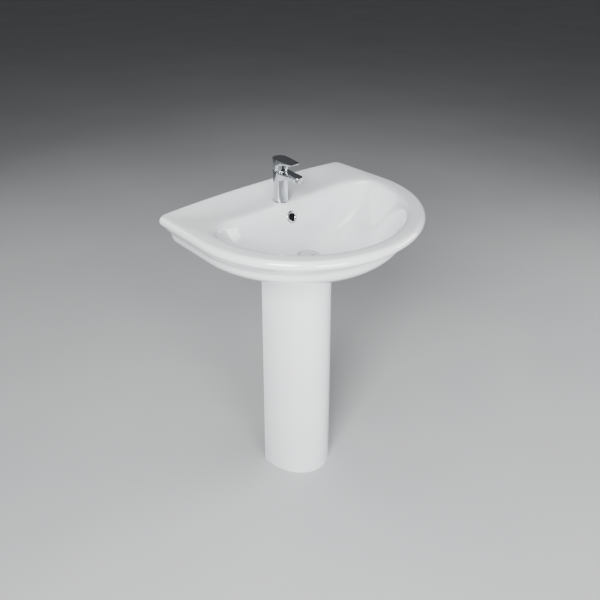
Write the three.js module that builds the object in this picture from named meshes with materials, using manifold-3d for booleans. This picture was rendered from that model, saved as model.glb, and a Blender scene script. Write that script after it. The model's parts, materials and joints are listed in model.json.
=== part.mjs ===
// Pedestal wash basin, 600 mm wide, with a single lever mixer tap, a push plug waste and a bottle trap.
// Millimetres. +Z is up, +Y points at the wall and +X is to the right of someone who faces the wall.
// Positions inside the functions are given from the wall plane (y = 0) and the floor (z = 0); the
// finished group is then moved along Y, so that its origin is on the floor under the box's middle.

import * as THREE from 'three';
import { mergeVertices } from 'three/addons/utils/BufferGeometryUtils.js';
import Module from 'manifold-3d';

const wasm = await Module();
wasm.setup();

// ---- basin ----
const basinWidth = 600;
const basinDepth = 474;
const rimHeight = 850; // floor to the top of the rim
const rimRoll = 12; // radius of the rounded outer edge
const rearRoll = 5.5; // and of the top edge against the wall
const rimLip = 46; // outer edge to where the rim turns down into the bowl, at the sides
const rimLipFront = 38; // and at the front
const lipDrop = 2.5;
const sideTurn = 181; // wall to where the straight sides become the round front
const rearCorner = 15;
const backCrown = 9.5; // how far the middle of the back edge stands above its ends
const crownFall = 2.4; // the power of x by which it falls away
const ridgeFromWall = 125; // front edge of the tap deck
const ridgeDrop = 21;
const ridgeCornerX = 90;
const creaseSide = 15; // outer edge to the crease under the rim, at the sides
const creaseFront = 32; // and at the front
const creaseDrop = 35;
const underWaist = 45; // how much nearer the wall the underside's round front starts, half way down
const bowlDepth = 134;
const china = 11; // wall thickness
const deckThickness = 14;

// ---- pedestal ----
const pedestalDrop = 160; // rim top to the top of the pedestal
const pedestalHeight = rimHeight - pedestalDrop;
const pedestalWidth = 208; // at the floor
const pedestalTopWidth = 180;
const pedestalFront = 265; // wall to the front of the pedestal, at the floor
const pedestalTopFront = 258;
const pedestalBack = 121; // wall to its open back
const pedestalTurn = 130; // wall to where its straight sides become the round front
const pedestalWall = 13;
const footFlange = 26;
const footThickness = 16;
const sealThickness = 2.4;
const seatMargin = 20; // how far the basin's seat stands out round the pedestal

// ---- waste ----
const wasteFromWall = 200;
const wasteTube = 20.5; // outside radius of the waste body
const wasteTubeWall = 2.3;
const wasteClearance = 2.5; // round the waste body in its hole
const wasteLap = 8.5; // how far the flange covers the china round the hole
const flangeMargin = 4.5; // flat china outside the flange
const bossWall = 16;
const wasteBossDepth = 36;
const wasteTail = 40; // length of the waste body below the boss
const plugClearance = 1.2;
const washerThickness = 3;

// ---- overflow ----
const overflowDrop = 45; // rim top to the middle of the overflow hole
const overflowHole = 11;
const overflowLap = 4.5; // how far the ring covers the china round the hole
const ductDepth = 10;
const ductWidth = 34;
const ductWall = 8;
const ductSkin = 1.5; // extra china between the bowl and the duct
const ductFall = 3; // and between the duct's foot and the bowl's floor

// ---- tap ----
const tapFromWall = 97.5;
const tapHole = 17.5;
const tapSeatDrop = 12.5; // rim top to the deck under the tap
const tapLap = 1.5; // how far the tap's foot covers the deck round its hole
const tapSeatMargin = 3; // flat seat outside the foot
const spotMargin = 4; // and outside the hole, under the deck
const tapHeight = 78.5; // foot to the top of the body
const tapSealThickness = 1.2;
const spoutReach = 72.5;
const spoutWidth = 26;
const spoutFall = 1.5; // top of the body to the top of the spout's tip
const spoutTipThickness = 9.5;
const spoutRootThickness = 20.5;
const spoutCorner = 8;
const aeratorRadius = 10;
const aeratorHeight = 5.5; // below the spout
const aeratorNeckHeight = 3.6; // inside the spout
const aeratorShoulder = 1.9; // between the aerator's rim and its neck
const aeratorFromTip = 12.5;
const cartridgeWall = 6.5; // metal round the cartridge
const cartridgeDepth = 30;
const leverReach = 55;
const leverTipWidth = 28;
const leverRise = 28.5; // top of the body to the top of the lever's tip
const handleHeight = 31; // top of the body to the top of the handle
const handleGap = 1.6;
const handleRelief = 3; // how far the handle's skirt rises towards the back, to leave room to lift
const stemPivot = 12; // from the top of the tap body down to the pin that the lever tilts on
const studRadius = 4;
const studClearance = 3.5; // stud to the edge of the tap hole
const tailRadius = 5;
const tailClearance = 4; // and the same for the tails
const tailSpread = 64; // between the ends of the two tails
const tailLength = 290;

// ---- trap and pipe ----
const pipeRadius = 16;
const pipeWall = 2.2;
const pipeInWall = 30;
const roseMargin = 6; // how far the rose stands out round the pipe
const outletDrop = 45; // end of the waste to the axis of the pipe into the wall
const trapRadius = 30;
const trapWall = 3;
const trapDrop = 95; // that axis to the bottom of the trap
const dipRadius = 16;
const nutSkirt = 11; // length of the inlet nut under its shoulder

// ---- wall fixing ----
const boltSpacing = 280;
const boltDrop = 72; // rim top to the bolts
const boltRadius = 5;
const boltInWall = 45;
const boltInside = 40;
const bushWall = 2.5;
const bushClearance = 0.5;
const washerRadius = 12;

const gap = 0.3; // between pieces that touch
const fine = 52;
const round = 24; // segments of a turned piece that shows
const coarse = 16; // and of one that is hidden

// ---- sizes that follow from those ----
const seatHeight = pedestalHeight + sealThickness + 2 * gap;
const bowlFloor = rimHeight - bowlDepth;
const bossBottom = bowlFloor - wasteBossDepth;
const lipHeight = rimHeight - lipDrop;
const tapSeat = rimHeight - tapSeatDrop;
const deckUnderside = tapSeat - deckThickness;
const spotDepth = 0.5; // spot face under the tap hole
const wasteBore = wasteTube + wasteClearance; // radius of the hole through the china
const wasteFlange = wasteBore + wasteLap;
const wasteFloor = wasteFlange + flangeMargin; // radius of the flat floor round the waste
const wasteBoss = wasteBore + bossWall;
const plugRadius = wasteTube - wasteTubeWall - plugClearance;
const overflowRing = overflowHole + overflowLap;
const tapRadius = tapHole + tapLap;
const cartridgeRadius = tapRadius - cartridgeWall;
const studFromAxis = tapHole - studRadius - studClearance;
const tailX = tapHole - tailRadius - tailClearance; // the axis of each tail
const spoutTipTop = tapHeight - spoutFall;
const spoutTipBottom = spoutTipTop - spoutTipThickness;
const spoutRoot = tapHeight - spoutRootThickness;
const aeratorNeck = aeratorRadius - aeratorShoulder;
const aeratorFromAxis = spoutReach - aeratorFromTip;
const leverTipTop = tapHeight + leverRise;
const handleTop = tapHeight + handleHeight;
const wasteEnd = bossBottom - wasteTail;
const outletHeight = wasteEnd - outletDrop; // floor to the axis of the pipe into the wall
const trapBottom = outletHeight - trapDrop;
const bushRadius = boltRadius + bushWall;

// ---- helpers ----
const finish = {
  china: { color: 0xf4f4f2, roughness: 0.12, metalness: 0 },
  chrome: { color: 0xc9ccd0, roughness: 0.12, metalness: 1 },
  brass: { color: 0xb99a5b, roughness: 0.35, metalness: 1 },
  steel: { color: 0xa8abae, roughness: 0.35, metalness: 1 },
  copper: { color: 0xb8734a, roughness: 0.35, metalness: 1 },
  whitePlastic: { color: 0xe9e9e6, roughness: 0.45, metalness: 0 },
  greyPlastic: { color: 0x6b6f73, roughness: 0.5, metalness: 0 },
  ceramic: { color: 0xf0eee6, roughness: 0.3, metalness: 0 },
  rubber: { color: 0x1c1c1c, roughness: 0.8, metalness: 0 },
};

const sink = new THREE.Group();
const origin = (basinDepth - boltInWall) / 2;
sink.position.set(0, origin, 0);

// A closed geometry as a solid. One whose faces point inwards is turned the right way out.
function toSolid(geometry) {
  const bare = geometry.index ? geometry.toNonIndexed() : geometry.clone();
  bare.deleteAttribute('normal');
  bare.deleteAttribute('uv');
  const merged = mergeVertices(bare, 1e-4);
  const vertProperties = new Float32Array(merged.attributes.position.array);
  const triVerts = new Uint32Array(merged.index.array);
  const solid = new wasm.Manifold(new wasm.Mesh({ numProp: 3, vertProperties, triVerts }));
  if (solid.volume() > 0) return solid;
  const turnedRound = triVerts.map((_, k) => triVerts[k % 3 === 0 ? k + 1 : k % 3 === 1 ? k - 1 : k]);
  return new wasm.Manifold(new wasm.Mesh({ numProp: 3, vertProperties, triVerts: turnedRound }));
}

function toGeometry(solid) {
  const mesh = solid.getMesh();
  const geometry = new THREE.BufferGeometry();
  geometry.setAttribute('position', new THREE.BufferAttribute(mesh.vertProperties, mesh.numProp));
  geometry.setIndex(new THREE.BufferAttribute(mesh.triVerts, 1));
  geometry.computeVertexNormals();
  return geometry;
}

function cut(base, ...tools) {
  const rest = tools.reduce((solid, tool) => solid.subtract(toSolid(tool)), toSolid(base));
  return toGeometry(rest);
}

function join(base, ...others) {
  const whole = others.reduce((solid, other) => solid.add(toSolid(other)), toSolid(base));
  return toGeometry(whole);
}

function common(base, other) {
  return toGeometry(toSolid(base).intersect(toSolid(other)));
}

function add(name, geometry, material) {
  const mesh = new THREE.Mesh(geometry, new THREE.MeshStandardMaterial(finish[material]));
  mesh.name = name;
  sink.add(mesh);
}

// A round bar up Z. taper is how much smaller its top radius is.
function bar(radius, low, high, segments = round, taper = 0) {
  const geometry = new THREE.CylinderGeometry(radius - taper, radius, high - low, segments);
  return geometry.rotateX(Math.PI / 2).translate(0, 0, (low + high) / 2);
}

// A turned piece up Z from [radius, height] points that go round its section.
function turned(points, segments = round) {
  const profile = points.map(([radius, height]) => new THREE.Vector2(radius, height));
  if (points[0][0] > 0) profile.push(profile[0].clone());
  const geometry = new THREE.LatheGeometry(profile, segments).rotateX(Math.PI / 2);
  return toGeometry(toSolid(geometry));
}

// A washer, ring or tube up Z.
function tube(inner, outer, low, high, segments = round) {
  return turned([[inner, low], [outer, low], [outer, high], [inner, high]], segments);
}

// An outline of [x, y] points raised from low to high.
function prism(points, low, high) {
  const shape = new THREE.Shape(points.map(([x, y]) => new THREE.Vector2(x, y)));
  return new THREE.ExtrudeGeometry(shape, { depth: high - low, bevelEnabled: false }).translate(0, 0, low);
}

// A side outline of [distance in front of the wall, height] points, extruded across the width.
function sideways(points, width) {
  const shape = new THREE.Shape(points.map(([front, height]) => new THREE.Vector2(front, height)));
  const geometry = new THREE.ExtrudeGeometry(shape, { depth: width, bevelEnabled: false });
  const basis = new THREE.Matrix4().makeBasis(
    new THREE.Vector3(0, -1, 0),
    new THREE.Vector3(0, 0, 1),
    new THREE.Vector3(-1, 0, 0),
  );
  return geometry.applyMatrix4(basis).translate(width / 2, 0, 0);
}

// A six-sided nut up Z with a plain bore.
function hexNut(acrossFlats, bore, low, high) {
  const body = bar(acrossFlats / Math.sqrt(3), low, high, 6);
  return cut(body, bar(bore, low - 1, high + 1, coarse));
}

// A closed body through rings of points; the first ring closes the inside, the last one the underside.
function loft(rings) {
  const count = rings[0].length;
  const middle = (ring) => {
    const sum = ring.reduce((total, point) => total.map((value, k) => value + point[k]), [0, 0, 0]);
    return sum.map((value) => value / count);
  };
  const points = [middle(rings[0]), ...rings.flat(), middle(rings.at(-1))];
  const index = [];
  const at = (row, k) => 1 + row * count + (k % count);
  for (let k = 0; k < count; k += 1) {
    index.push(0, at(0, k), at(0, k + 1));
    for (let row = 0; row + 1 < rings.length; row += 1) {
      index.push(at(row, k), at(row + 1, k), at(row + 1, k + 1));
      index.push(at(row, k), at(row + 1, k + 1), at(row, k + 1));
    }
    index.push(points.length - 1, at(rings.length - 1, k + 1), at(rings.length - 1, k));
  }
  const geometry = new THREE.BufferGeometry();
  geometry.setAttribute('position', new THREE.Float32BufferAttribute(points.flat(), 3));
  geometry.setIndex(index);
  return geometry;
}

const mix = (from, to, share) => from + (to - from) * share;

// ---- basin shape ----
// Half of a D outline, from its front middle round one side to its back middle, as [x, distance from wall].
function halfOutline({ halfWidth, front, turn, rear, cornerX, cornerY }) {
  const frontSteps = Math.round(fine * 0.23);
  const sideSteps = Math.round(fine * 0.07);
  const cornerSteps = Math.round(fine * 0.09);
  const backSteps = Math.round(fine * 0.11);
  const straight = turn - rear - cornerY;
  const lead = straight > 1 ? 0 : Math.PI / 6; // a side with no straight part borrows from its corner
  const corner = (angle) => [
    halfWidth - cornerX * (1 - Math.cos(angle)),
    rear + cornerY * (1 - Math.sin(angle)),
  ];
  const half = [];
  for (let k = 0; k < frontSteps; k += 1) {
    const angle = (Math.PI / 2) * (1 - k / frontSteps);
    half.push([halfWidth * Math.cos(angle), turn + (front - turn) * Math.sin(angle)]);
  }
  for (let k = 0; k < sideSteps; k += 1) {
    const share = k / sideSteps;
    half.push(lead ? corner(lead * share) : [halfWidth, turn - straight * share]);
  }
  for (let k = 0; k < cornerSteps; k += 1) half.push(corner(mix(lead, Math.PI / 2, k / cornerSteps)));
  for (let k = 0; k <= backSteps; k += 1) half.push([(halfWidth - cornerX) * (1 - k / backSteps), rear]);
  return half;
}

// A closed ring of the basin. Its height goes from height, round the front and sides, to backHeight
// in the middle of the back.
function basinRing(ring) {
  const right = halfOutline(ring);
  const left = right.slice(1, -1).reverse().map(([x, distance]) => [-x, distance]);
  return [...right, ...left].map(([x, distance]) => {
    const share = distance < ring.turn ? 1 - Math.abs(x / ring.halfWidth) ** crownFall : 0;
    return [x, -distance, mix(ring.height, ring.backHeight, share)];
  });
}

// Shares of the way out and up from the bowl's floor to its lip, at the front and sides and at the back.
const bowlSection = [
  [0, 0], [0.16, 0.025], [0.34, 0.09], [0.52, 0.2], [0.68, 0.36], [0.8, 0.55], [0.88, 0.725],
  [0.94, 0.875],
  [0.975, 0.965], [1, 1],
];
const bowlBack = [
  [0, 0], [0.06, 0.025], [0.12, 0.08], [0.2, 0.18], [0.31, 0.34], [0.44, 0.52], [0.57, 0.68],
  [0.72, 0.82],
  [0.87, 0.935], [1, 1],
];
const lipHalfWidth = basinWidth / 2 - rimLip;
const lipFront = basinDepth - rimLipFront;
const ridgeHeight = rimHeight - ridgeDrop;

function bowlRings(offset) {
  return bowlSection.map(([out, up], row) => {
    const [backOut, backUp] = bowlBack[row];
    const turn = mix(wasteFromWall, sideTurn, out);
    const rear = mix(wasteFromWall - wasteFloor, ridgeFromWall, backOut) - offset;
    return {
      halfWidth: mix(wasteFloor, lipHalfWidth, out) + offset,
      front: mix(wasteFromWall + wasteFloor, lipFront, out) + offset,
      turn,
      rear,
      cornerX: mix(wasteFloor, ridgeCornerX, out) + offset,
      cornerY: turn - rear,
      height: mix(bowlFloor, lipHeight, up) - offset,
      backHeight: mix(bowlFloor, ridgeHeight, backUp) - offset,
    };
  });
}

// The rim's top from the lip to where its rounded edge starts: share of the lip's inset, height under the
// rim top, then the back's distance from the wall and its height under the rim top, and the size of the
// rear corner.
const rimSection = [
  { share: 0.83, drop: 0.6, wall: 119, backDrop: 12.6, corner: 82, cornerY: 58 },
  { share: 0.65, drop: 0.1, wall: 97, backDrop: 11.4, corner: 66, cornerY: 52 },
  { share: 0.48, drop: 0, wall: 68, backDrop: 9.8, corner: 48, cornerY: 42 },
  { share: 0.35, drop: 0.2, wall: 36, backDrop: 2, corner: 30, cornerY: 28 },
];

function rimRings() {
  return rimSection.map(({ share, drop, wall, backDrop, corner, cornerY }) => ({
    halfWidth: basinWidth / 2 - share * rimLip,
    front: basinDepth - share * rimLipFront,
    turn: sideTurn,
    rear: wall,
    cornerX: corner,
    cornerY,
    height: rimHeight - drop,
    backHeight: rimHeight - backDrop,
  }));
}

function rollRings() {
  const steps = 6;
  const rings = [];
  for (let k = 0; k <= steps; k += 1) {
    const angle = Math.PI * (0.5 - k / steps);
    const inset = rimRoll * (1 - Math.cos(angle));
    const height = rimHeight - rimRoll * (1 - Math.sin(angle));
    const crown = backCrown * Math.max(0, Math.sin(angle));
    rings.push({
      halfWidth: basinWidth / 2 - inset,
      front: basinDepth - inset,
      turn: sideTurn,
      rear: angle > 0 ? rearRoll * (1 - Math.cos(angle)) : 0,
      cornerX: rearCorner,
      cornerY: rearCorner,
      height,
      backHeight: height + crown,
    });
  }
  return rings;
}

// Shares of the way in and down from the crease under the rim to the seat on the pedestal.
const underSection = [
  [0, 0], [0.05, 0.05], [0.085, 0.12], [0.095, 0.2], [0.105, 0.28], [0.16, 0.37], [0.25, 0.465],
  [0.38, 0.575],
  [0.53, 0.7], [0.7, 0.835], [0.85, 0.93], [1, 1],
];

function underRings(offset) {
  const halfWidth = pedestalTopWidth / 2 + seatMargin;
  const front = pedestalTopFront + seatMargin;
  return underSection.map(([inward, down]) => {
    const height = mix(rimHeight - creaseDrop, seatHeight, down);
    return {
      halfWidth: mix(basinWidth / 2 - creaseSide, halfWidth, inward) - offset,
      front: mix(basinDepth - creaseFront, front, inward) - offset,
      turn: mix(sideTurn, pedestalTurn, inward) - 4 * underWaist * inward * (1 - inward),
      rear: offset,
      cornerX: rearCorner,
      cornerY: rearCorner,
      height,
      backHeight: height,
    };
  });
}

// The back wall of the bowl as [distance from wall, height] points, moved out by offset.
function bowlBackLine(offset) {
  const foot = wasteFromWall - wasteFloor;
  return bowlBack.slice(2, 9).map(([out, up]) => (
    [mix(foot, ridgeFromWall, out) - offset, mix(bowlFloor, ridgeHeight, up)]
  ));
}

const overflowPoint = (() => {
  const height = rimHeight - overflowDrop;
  const line = bowlBackLine(0);
  const above = line.findIndex((point) => point[1] > height);
  const [low, high] = [line[above - 1], line[above]];
  const share = (height - low[1]) / (high[1] - low[1]);
  const tilt = Math.atan2(low[0] - high[0], high[1] - low[1]);
  return { distance: mix(low[0], high[0], share), height, tilt };
})();

// Sets a piece that was built up Z at the overflow, with Z pointing out of the bowl's back wall.
function atOverflow(geometry) {
  const { distance, height, tilt } = overflowPoint;
  return geometry.rotateX(Math.PI / 2 - tilt).translate(0, -distance, height);
}

// The overflow's duct in side view: down behind the bowl, then forward into the waste hole.
function ductOutline(margin) {
  const skin = china + ductSkin;
  const near = bowlBackLine(skin - margin);
  const far = bowlBackLine(skin + ductDepth + margin).reverse();
  const top = overflowPoint.height + overflowHole + margin;
  const low = bowlFloor - china - ductDepth - margin - ductFall;
  const mouth = wasteFromWall - wasteBore + 4;
  const inside = margin > 0 ? wasteFromWall - wasteBore - 2 : mouth;
  const nearSide = near.filter((point) => point[1] < top);
  const farSide = far.filter((point) => point[1] < top);
  return [
    [inside, low],
    [inside, bowlFloor - china - ductFall + margin],
    [nearSide[0][0], bowlFloor - china - ductFall + margin],
    ...nearSide,
    [nearSide.at(-1)[0] - 2, top],
    [farSide[0][0] - 2, top],
    ...farSide,
    [farSide.at(-1)[0], low],
  ];
}

function basin() {
  const outside = [...bowlRings(0), ...rimRings(), ...rollRings(), ...underRings(0)].map(basinRing);
  const body = toSolid(loft(outside));

  const shell = bowlRings(china);
  const collar = { ...shell.at(-1), height: rimHeight + 20, backHeight: rimHeight + 20 };
  const bowlWall = toSolid(loft([...shell, collar].map(basinRing)));
  const raised = ({ height, ...ring }) => ({ ...ring, height: height + 4, backHeight: height + 4 });
  const inner = underRings(china).map(raised);
  const ceiling = { ...inner[0], height: deckUnderside, backHeight: deckUnderside };
  const hollowRings = [ceiling, ...inner.slice(2)].map(basinRing);
  const boss = toSolid(bar(wasteBoss, bossBottom, bowlFloor - 2).translate(0, -wasteFromWall, 0));
  const duct = toSolid(sideways(ductOutline(ductWall), ductWidth + 2 * ductWall));
  const opening = pedestalOutline(-pedestalWall - 2, china);
  const well = prism(opening, seatHeight - 60, seatHeight + 30);
  const hollow = toSolid(loft(hollowRings)).add(toSolid(well)).subtract(bowlWall);

  const ductInside = sideways(ductOutline(0), ductWidth);
  const tapWay = bar(tapHole, deckUnderside - 40, rimHeight + 20, round).translate(0, -tapFromWall, 0);
  const spotTop = deckUnderside + spotDepth;
  const spot = bar(tapHole + spotMargin, deckUnderside - 30, spotTop, round).translate(0, -tapFromWall, 0);
  const seat = bar(tapRadius + tapSeatMargin, tapSeat, rimHeight + 30, round).translate(0, -tapFromWall, 0);
  const wasteWay = bar(wasteBore, bossBottom - 5, bowlFloor + 20, round).translate(0, -wasteFromWall, 0);
  const overflowWay = atOverflow(bar(overflowHole, -china - 8, 20, coarse));
  const ways = [ductInside, tapWay, spot, seat, wasteWay, overflowWay];
  for (const side of [-1, 1]) {
    const hole = bar(bushRadius + bushClearance, -china - 30, 5, coarse).rotateX(-Math.PI / 2);
    ways.push(hole.translate((side * boltSpacing) / 2, 0, rimHeight - boltDrop));
  }
  const cast = body.subtract(hollow).add(boss).add(duct);
  return toGeometry(ways.reduce((solid, way) => solid.subtract(toSolid(way)), cast));
}

// The pedestal's outline at a height, grown by margin, as [x, y] points; its back is straight.
function pedestalOutline(margin, backDistance, height = pedestalHeight) {
  const steps = 20;
  const share = height / pedestalHeight;
  const halfWidth = mix(pedestalWidth, pedestalTopWidth, share) / 2 + margin;
  const front = mix(pedestalFront, pedestalTopFront, share) + margin;
  const points = [[halfWidth, -backDistance]];
  for (let k = 0; k <= steps; k += 1) {
    const angle = (Math.PI * k) / steps;
    points.push([halfWidth * Math.cos(angle), -pedestalTurn - (front - pedestalTurn) * Math.sin(angle)]);
  }
  points.push([-halfWidth, -backDistance]);
  return points.reverse();
}

add('basin', basin(), 'china');

function overflowTrim() {
  const ringLift = 1.3; // clears the slight curve of the china round the hole
  const rings = [
    [overflowHole - 0.8, -6], [overflowHole - 0.8, ringLift], [overflowRing, ringLift],
    [overflowRing, ringLift + 1], [overflowRing - 1.5, ringLift + 2.2],
    [overflowHole - 1, ringLift + 2.2],
    [overflowHole - 1.6, ringLift + 1], [overflowHole - 1.6, -6],
  ];
  return atOverflow(turned(rings));
}
add('overflow_ring', overflowTrim(), 'chrome');

// ---- pedestal ----
// The space inside the pedestal's outline, grown by margin, from low to high.
function columnSpace(margin, backDistance, low, high) {
  const ring = (height) => pedestalOutline(margin, backDistance, height).map((point) => [...point, height]);
  return loft([ring(low), ring(high)]);
}

function pedestal() {
  const column = columnSpace(0, pedestalBack, 0, pedestalHeight);
  const hollow = columnSpace(-pedestalWall, pedestalBack - 20, footThickness, pedestalHeight + 10);
  const footHole = columnSpace(-pedestalWall - footFlange, pedestalBack - 20, -10, footThickness + 10);
  return cut(column, hollow, footHole);
}
add('pedestal', pedestal(), 'china');

function pedestalSeal() {
  const low = pedestalHeight + gap;
  const strip = prism(pedestalOutline(-1.5, pedestalBack + 2), low, low + sealThickness);
  return cut(strip, prism(pedestalOutline(1.5 - pedestalWall, pedestalBack - 20), low - 5, low + 10));
}
add('pedestal_seal', pedestalSeal(), 'rubber');

// ---- wall fixings ----
function alongWall(geometry, side) {
  return geometry.rotateX(-Math.PI / 2).translate((side * boltSpacing) / 2, 0, rimHeight - boltDrop);
}

function wallFixing(side, suffix) {
  const flange = china + gap;
  const collar = bushRadius + 6;
  const bush = [
    [boltRadius + gap, -flange - 2.5], [collar, -flange - 2.5], [collar, -flange], [bushRadius, -flange],
    [bushRadius, -1], [boltRadius + gap, -1],
  ];
  const washerLow = -flange - 2.5 - gap - 2;
  const nutHigh = washerLow - gap;
  const point = [[0, boltInWall], [1, boltInWall - 1], [boltRadius - 1, boltInWall - 12]];
  const shank = [
    [boltRadius, 2], [boltRadius, -boltInside + 1], [boltRadius - 1, -boltInside], [0, -boltInside],
  ];
  const bolt = turned([...point, [boltRadius, boltInWall - 20], ...shank], coarse);
  const washer = tube(boltRadius + gap, washerRadius, washerLow, washerLow + 2, coarse);
  const nut = hexNut(3.4 * boltRadius, boltRadius + gap, nutHigh - 1.6 * boltRadius, nutHigh);
  add(`wall_bolt_${suffix}`, alongWall(bolt, side), 'steel');
  add(`wall_bush_${suffix}`, alongWall(turned(bush, coarse), side), 'whitePlastic');
  add(`wall_washer_${suffix}`, alongWall(washer, side), 'steel');
  add(`wall_nut_${suffix}`, alongWall(nut, side), 'steel');
}
wallFixing(-1, 'left');
wallFixing(1, 'right');

// ---- tap ----
// Sets a piece built round the tap's axis, with z = 0 at the foot of its body.
const tapFoot = tapSeat + tapSealThickness + 2 * gap;
function atTap(geometry) {
  return geometry.translate(0, -tapFromWall, tapFoot);
}
const cartridgeFloor = tapHeight - cartridgeDepth;

// A spout or lever: its side view cut to its plan view.
function wedge(side, plan) {
  const top = Math.max(...side.map((point) => point[1]));
  return common(sideways(side, 4 * tapRadius), prism(plan, -5, top + 5));
}

function tapBody() {
  const column = bar(tapRadius, 0, tapHeight, round * 1.5);
  const root = tapRadius - 3;
  const side = [
    [0, tapHeight - 14], [0, spoutRoot], [root, spoutRoot], [aeratorFromAxis - 14, spoutTipBottom],
    [spoutReach - 2, spoutTipBottom], [spoutReach, spoutTipBottom + 3], [spoutReach, spoutTipTop - 1.5],
    [spoutReach - 2, spoutTipTop], [tapRadius - 1, tapHeight - 0.5], [0, tapHeight - 0.5],
  ];
  const half = spoutWidth / 2;
  const plan = [
    [-tapRadius + 0.6, 0], [-half - 1, -spoutReach * 0.62], [-half, -spoutReach + spoutCorner],
    [-half + 0.25 * spoutCorner, -spoutReach + 0.3 * spoutCorner], [-half + spoutCorner, -spoutReach - 1],
    [half - spoutCorner, -spoutReach - 1], [half - 0.25 * spoutCorner, -spoutReach + 0.3 * spoutCorner],
    [half, -spoutReach + spoutCorner], [half + 1, -spoutReach * 0.62], [tapRadius - 0.6, 0],
  ];
  const outside = join(column, wedge(side, plan));
  const bore = bar(cartridgeRadius + gap, cartridgeFloor, tapHeight + 10);
  const mouthTop = spoutTipBottom + aeratorNeckHeight + 2.2;
  const waterway = sideways([
    [5, spoutRoot + 4], [5, spoutRoot + 12], [aeratorFromAxis + 4, mouthTop],
    [aeratorFromAxis + 4, spoutTipBottom + 3], [aeratorFromAxis - 14, spoutTipBottom + 3],
  ], 9);
  const mouth = bar(aeratorNeck + gap, 0, mouthTop).translate(0, -aeratorFromAxis, 0);
  const studHole = bar(studRadius + gap, -10, 14, coarse).translate(0, studFromAxis, 0);
  const tails = [-tailX, tailX].map((x) => (
    bar(tailRadius + gap, -10, 22, coarse).translate(x, -3, 0)
  ));
  const inlets = [-tailX + 3, tailX - 3].map((x) => (
    bar(2.5, 20, cartridgeFloor + 2, 8).translate(x, -3, 0)
  ));
  return atTap(cut(outside, bore, waterway, mouth, studHole, ...tails, ...inlets));
}
add('tap_body', tapBody(), 'chrome');

const sealFoot = -gap - tapSealThickness;
add('tap_seal', atTap(tube(tapHole - 1.5, tapRadius - 0.8, sealFoot, -gap)), 'rubber');

const deckBottom = -(tapFoot - deckUnderside - spotDepth);
function studFixings() {
  const slot = tailX + tailRadius + 1;
  const low = deckBottom - 20;
  const high = deckBottom + 5;
  const plateOpening = prism([[-slot, -25], [slot, -25], [slot, 3], [-slot, 3]], low, high);
  const studWay = bar(studRadius + gap, low, high, coarse).translate(0, studFromAxis, 0);
  const plate = (from, to) => cut(bar(tapHole + 2.5, from, to), plateOpening.clone(), studWay.clone());
  const gasketLow = deckBottom - gap - washerThickness;
  const plateLow = gasketLow - gap - 3;
  const stud = [
    [0, plateLow - 45], [studRadius - 0.7, plateLow - 45], [studRadius, plateLow - 44],
    [studRadius, 11.3],
    [studRadius - 0.7, 12], [0, 12],
  ];
  add('stud_gasket', atTap(plate(gasketLow, gasketLow + washerThickness)), 'rubber');
  add('stud_plate', atTap(plate(plateLow, plateLow + 3)), 'steel');
  add('stud', atTap(turned(stud, coarse).translate(0, studFromAxis, 0)), 'steel');
  const nut = hexNut(13, studRadius + gap, plateLow - gap - 10, plateLow - gap);
  add('stud_nut', atTap(nut.translate(0, studFromAxis, 0)), 'brass');
}
studFixings();

// A pipe of radius outer and bore inner, open at both ends, that follows a smooth line through points.
function pipeAlong(points, outer, inner, steps) {
  const section = new THREE.Shape().absarc(0, 0, outer, 0, Math.PI * 2, false);
  section.holes.push(new THREE.Path().absarc(0, 0, inner, 0, Math.PI * 2, true));
  const path = new THREE.CatmullRomCurve3(points.map((point) => new THREE.Vector3(...point)));
  return new THREE.ExtrudeGeometry(section, { steps, curveSegments: 5, extrudePath: path });
}

function inletTail(side, name) {
  const root = side * tailX;
  const end = (side * tailSpread) / 2;
  const line = [
    [root, -3, 20], [root, -3, 0], [root, -3, -40], [mix(root, end, 0.12), -2.6, -70],
    [mix(root, end, 0.5), -1.5, -105], [mix(root, end, 0.88), -0.4, -140], [end, 0, -170],
    [end, 0, -tailLength],
  ];
  add(`${name}_tail`, atTap(pipeAlong(line, tailRadius, tailRadius - 0.8, 15)), 'copper');
  const low = -tailLength - 12;
  const high = -tailLength + 14;
  const stop = -tailLength - gap;
  const sleeve = turned([
    [tailRadius - 0.8, low], [9.5, low], [9.5, high], [tailRadius + gap, high], [tailRadius + gap, stop],
    [tailRadius - 0.8, stop],
  ], coarse);
  const flats = bar(12, high - 13, high - 2, 6);
  const coupler = cut(join(sleeve, flats), bar(tailRadius + gap, stop, high + 1, coarse));
  add(`${name}_coupler`, atTap(coupler.translate(end, 0, 0)), 'brass');
}
inletTail(-1, 'hot');
inletTail(1, 'cold');

function aerator() {
  const place = (geometry) => atTap(geometry.translate(0, -aeratorFromAxis, 0));
  const top = spoutTipBottom - gap;
  const low = top - aeratorHeight;
  const neckTop = top + aeratorNeckHeight;
  const shell = [
    [aeratorNeck - 1.2, low], [aeratorRadius - 1.8, low], [aeratorRadius - 0.8, low + 0.8],
    [aeratorRadius, top - 1], [aeratorRadius, top], [aeratorNeck, top],
    [aeratorNeck, neckTop], [aeratorNeck - 1.2, neckTop],
  ];
  add('aerator_shell', place(turned(shell)), 'chrome');
  const disc = bar(aeratorNeck - 1.2 - gap, top - 3, neckTop, coarse);
  const slots = [-3, 0, 3].map((x) => new THREE.BoxGeometry(1.2, 9, 20).translate(x, 0, top));
  add('aerator_insert', place(cut(disc, ...slots)), 'whitePlastic');
  add('aerator_washer', place(tube(5.2, aeratorNeck, neckTop + gap, neckTop + 1.6, coarse)), 'rubber');
}
aerator();

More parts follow.
